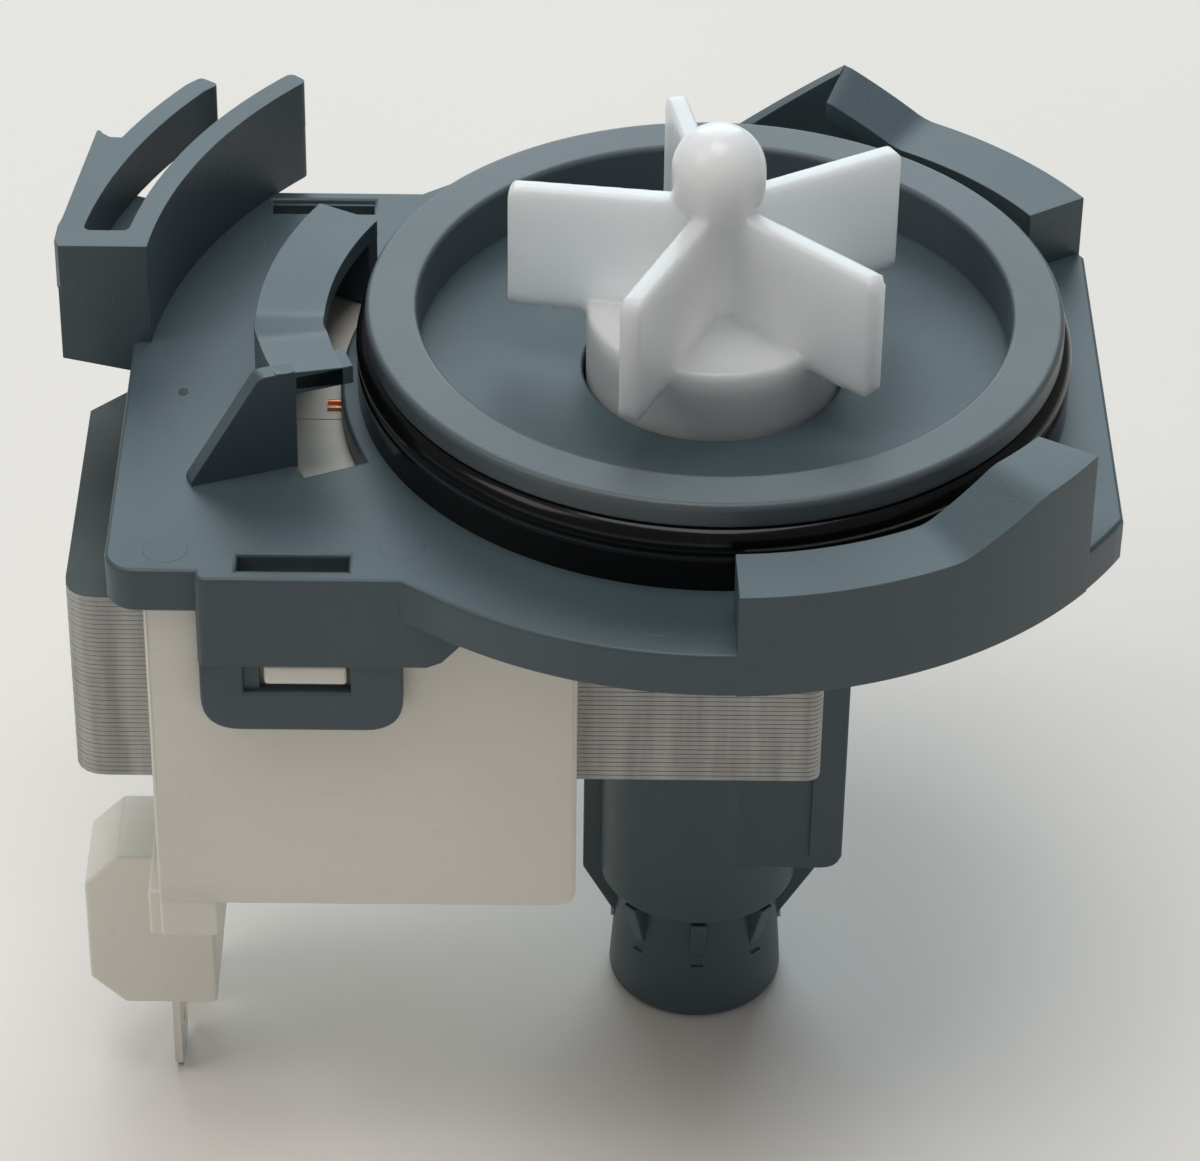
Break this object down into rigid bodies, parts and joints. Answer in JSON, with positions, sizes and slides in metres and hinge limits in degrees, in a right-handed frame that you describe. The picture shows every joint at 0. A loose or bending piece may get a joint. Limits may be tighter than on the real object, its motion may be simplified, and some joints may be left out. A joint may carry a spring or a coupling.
{
  "type": "drain pump",
  "caption": "Synchronous drain pump for a dishwasher: bayonet flange with O-ring collar, open bladed impeller, laminated core with coil cover and blade terminals.",
  "frame": {"origin": "on the pump axis, at the top face of the collar ring that enters the sump", "axes": "+Z along the pump axis, out of the impeller's end; +X away from the coils and latch; -Y is the front with the blade terminals' side of the cover"},
  "size_m": [0.0953, 0.0826, 0.0966],
  "materials": {
    "housing_plastic": "satin",
    "ring_plastic": "satin",
    "seal_rubber": "matte",
    "core_steel": "satin",
    "white_plastic": "satin",
    "winding_copper": "gloss",
    "tinned_metal": "satin",
    "bearing_ceramic": "satin",
    "shaft_steel": "gloss",
    "magnet_ferrite": "matte",
    "impeller_plastic": "satin",
    "washer_plastic": "satin"
  },
  "bodies": {
    "housing": {"flange_plate": "housing_plastic", "collar_ring": "ring_plastic", "o_ring": "seal_rubber", "can_gasket": "seal_rubber", "rotor_can": "housing_plastic", "stator_core": "core_steel", "bobbin_front": "white_plastic", "bobbin_rear": "white_plastic", "winding_front": "winding_copper", "winding_rear": "winding_copper", "coil_cover": "white_plastic", "terminal_front": "tinned_metal", "terminal_rear": "tinned_metal", "bearing_carrier": "housing_plastic", "front_bearing": "bearing_ceramic", "front_grommet": "seal_rubber", "rear_bearing": "bearing_ceramic", "rear_grommet": "seal_rubber", "shaft_seal": "seal_rubber"},
    "rotor": {"rotor_shaft": "shaft_steel", "rotor_magnet": "magnet_ferrite", "magnet_sleeve": "impeller_plastic", "thrust_washer_front": "washer_plastic", "thrust_washer_rear": "washer_plastic", "drive_dog": "impeller_plastic", "dog_pads": "seal_rubber"},
    "impeller": {"impeller": "impeller_plastic"}
  },
  "joints": [
    {"name": "rotor_spin", "type": "hinge", "parent": "housing", "child": "rotor", "pos_m": [0, 0, -0.03], "axis": [0, 0, 1], "continuous": true},
    {"name": "impeller_lag", "type": "hinge", "parent": "rotor", "child": "impeller", "pos_m": [0, 0, 0], "axis": [0, 0, 1], "range_deg": [-88, 88]}
  ]
}
